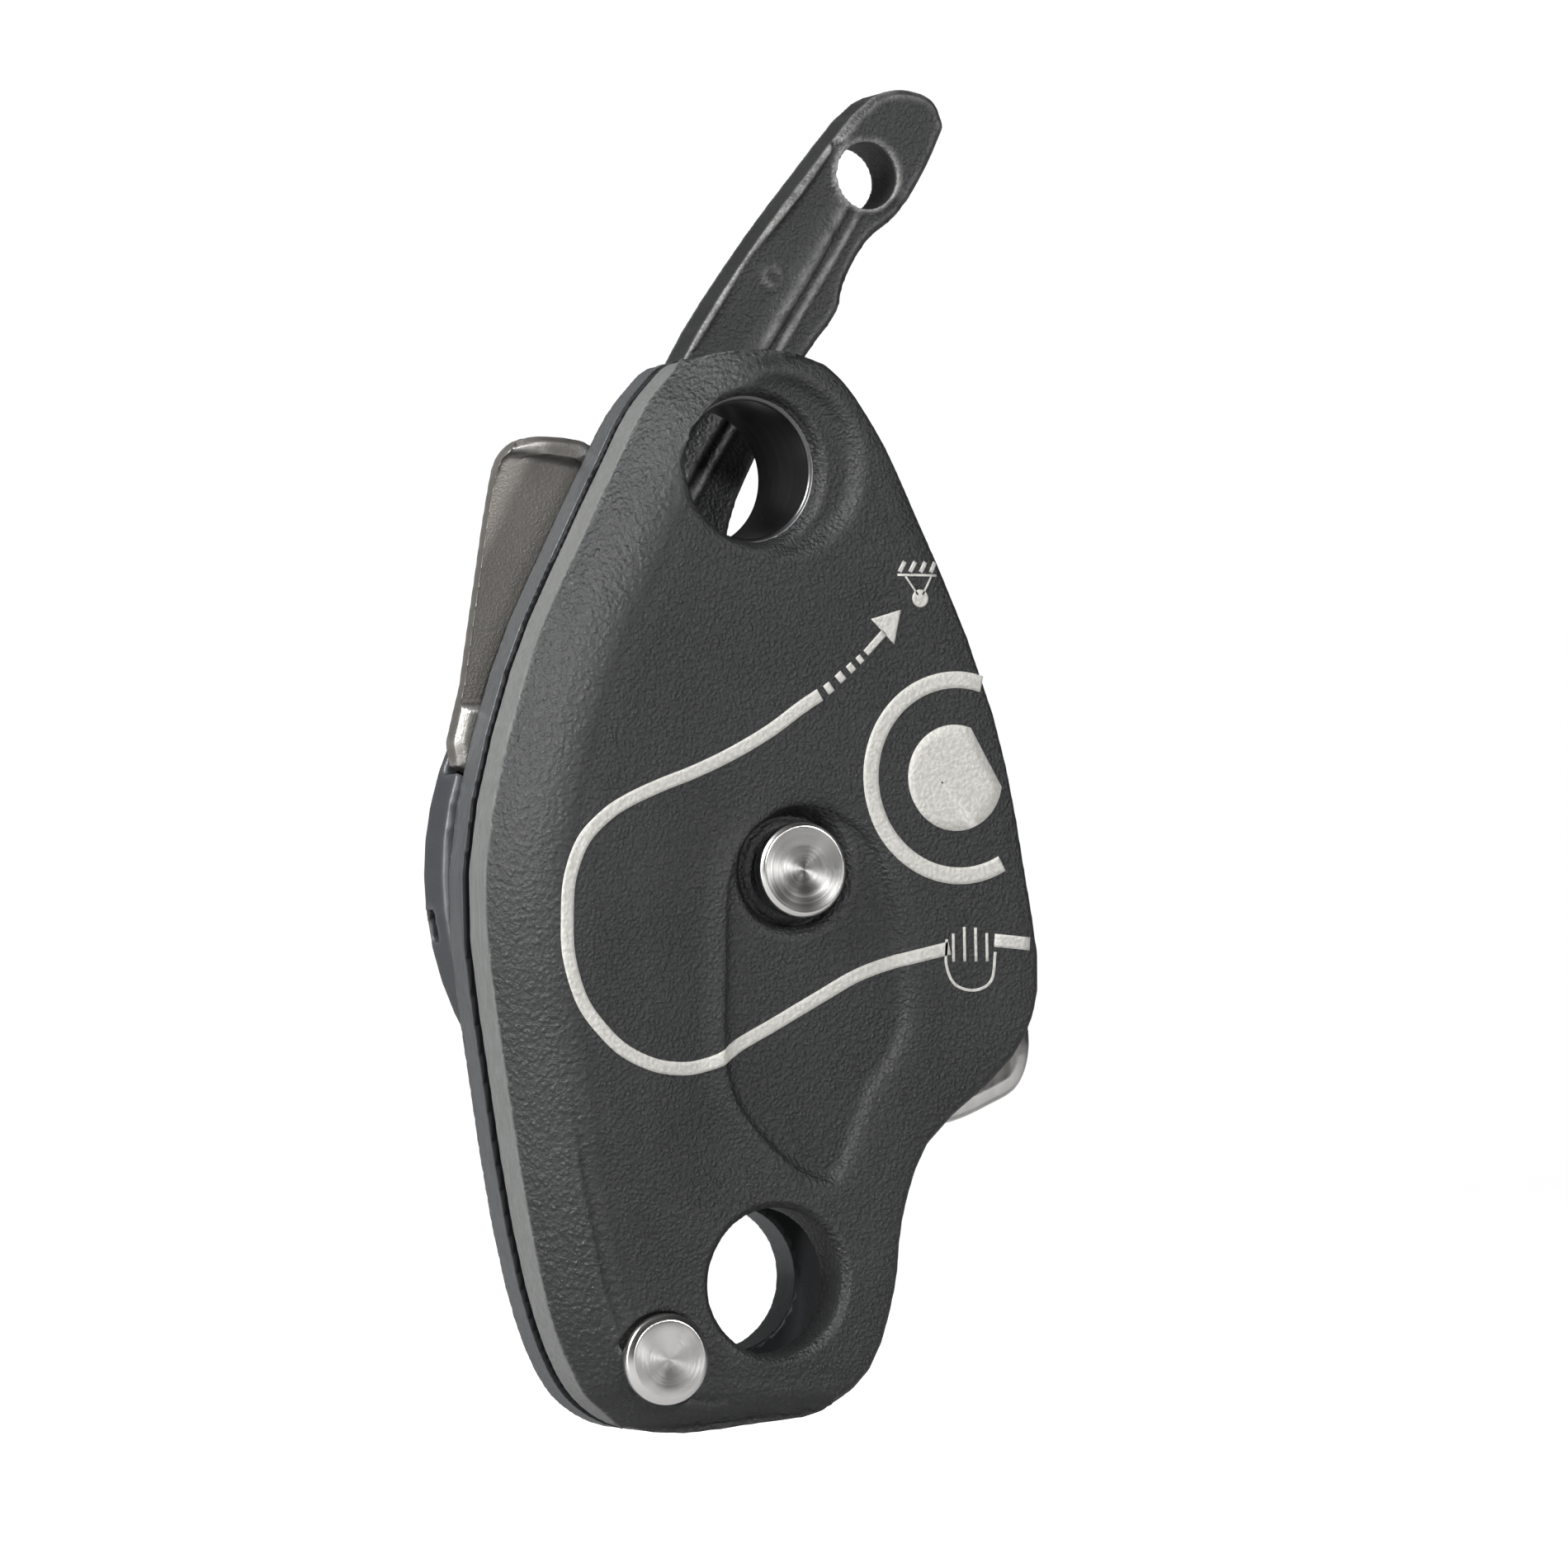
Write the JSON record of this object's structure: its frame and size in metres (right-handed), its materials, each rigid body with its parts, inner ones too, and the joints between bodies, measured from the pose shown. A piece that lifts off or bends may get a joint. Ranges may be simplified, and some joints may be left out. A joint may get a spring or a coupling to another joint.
{
  "type": "rope descender",
  "caption": "Self-braking rope descender: two plates around an eccentric rope cam, swing-open side plate with press button, karabiner eye, rear control handle and thumb lever.",
  "frame": {"origin": "centre of the lower karabiner eye, midway between the outer faces beside it", "axes": "+X to the right seen from the side plate, +Y from the side plate to the handle side, +Z from the lower karabiner eye up to the upper one"},
  "size_m": [0.0729, 0.0369, 0.1671],
  "materials": {
    "dark_casting": "fine leathery texture, satin",
    "satin_plate": "dark anodised, satin, faint brushing",
    "cast_steel": "bead blasted casting with polished rim",
    "stainless": "turned and polished",
    "bronze": "machined",
    "spring_steel": "drawn wire, oiled",
    "black_handle": "grained black coating with worn edges"
  },
  "bodies": {
    "frame": {"rear_plate": "satin_plate", "upper_eye_tube": "satin_plate", "main_axle": "stainless", "axle_bush": "bronze", "axle_washer": "stainless", "axle_nut": "stainless", "pivot_stud": "stainless", "pivot_spacer": "satin_plate", "pivot_washer": "bronze", "pivot_nut": "stainless", "brake_shoe": "stainless", "shoe_rivet_1": "stainless", "shoe_rivet_2": "stainless", "rear_housing": "satin_plate", "housing_screw_1": "stainless", "housing_screw_2": "stainless", "housing_screw_3": "stainless"},
    "side_plate": {"side_plate": "dark_casting"},
    "button": {"press_button": "stainless", "button_clip": "spring_steel", "button_spring": "spring_steel"},
    "cam": {"brake_cam": "cast_steel", "thumb_lever": "cast_steel", "cam_spring": "spring_steel"},
    "handle": {"handle": "black_handle", "handle_bush": "bronze", "drive_dog": "stainless", "handle_spring": "spring_steel"}
  },
  "joints": [
    {"name": "side_plate_swing", "type": "hinge", "parent": "frame", "child": "side_plate", "pos_m": [-0.0152, 0, -0.0087], "axis": [0, -1, 0], "range_deg": [0, 100]},
    {"name": "button_press", "type": "slide", "parent": "side_plate", "child": "button", "axis": [0, 1, 0], "range_m": [0, 0.0016], "stiffness_N_per_m": 1500, "springref_m": -0.001, "deforming": ["button_spring"]},
    {"name": "cam_pivot", "type": "hinge", "parent": "frame", "child": "cam", "pos_m": [0.0035, 0, 0.0498], "axis": [0, -1, 0], "range_deg": [-10, 0], "stiffness_Nm_per_rad": 0.3, "springref_deg": 20.05, "deforming": ["cam_spring"]},
    {"name": "handle_pivot", "type": "hinge", "parent": "frame", "child": "handle", "pos_m": [0.0035, 0, 0.0498], "axis": [0, -1, 0], "range_deg": [0, 110], "stiffness_Nm_per_rad": 0.12, "springref_deg": -28.65, "deforming": ["handle_spring"]}
  ]
}
